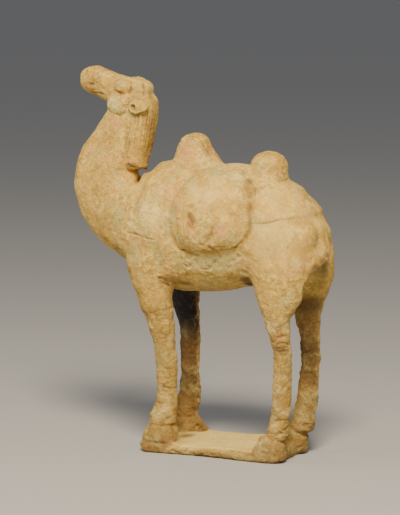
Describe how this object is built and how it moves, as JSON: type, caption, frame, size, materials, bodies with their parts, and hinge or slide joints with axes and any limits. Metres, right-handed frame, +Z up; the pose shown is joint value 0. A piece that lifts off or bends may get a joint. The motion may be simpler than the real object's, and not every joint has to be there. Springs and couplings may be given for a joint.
{
  "type": "pottery camel figure",
  "caption": "Moulded terracotta Bactrian camel with slung saddlebags and a croup blanket, head thrown up, standing on a thin rectangular slab.",
  "frame": {"origin": "middle of the slab's underside, the face that the figure stands on", "axes": "+Z up; the camel faces -X; its left side is at -Y; +Y is its right side"},
  "size_m": [0.2745, 0.116, 0.3818],
  "materials": {
    "terracotta": "matt unglazed buff earthenware with worn pale slip and brown burial stains"
  },
  "bodies": {
    "root": {"camel_figure": "terracotta"}
  },
  "joints": []
}
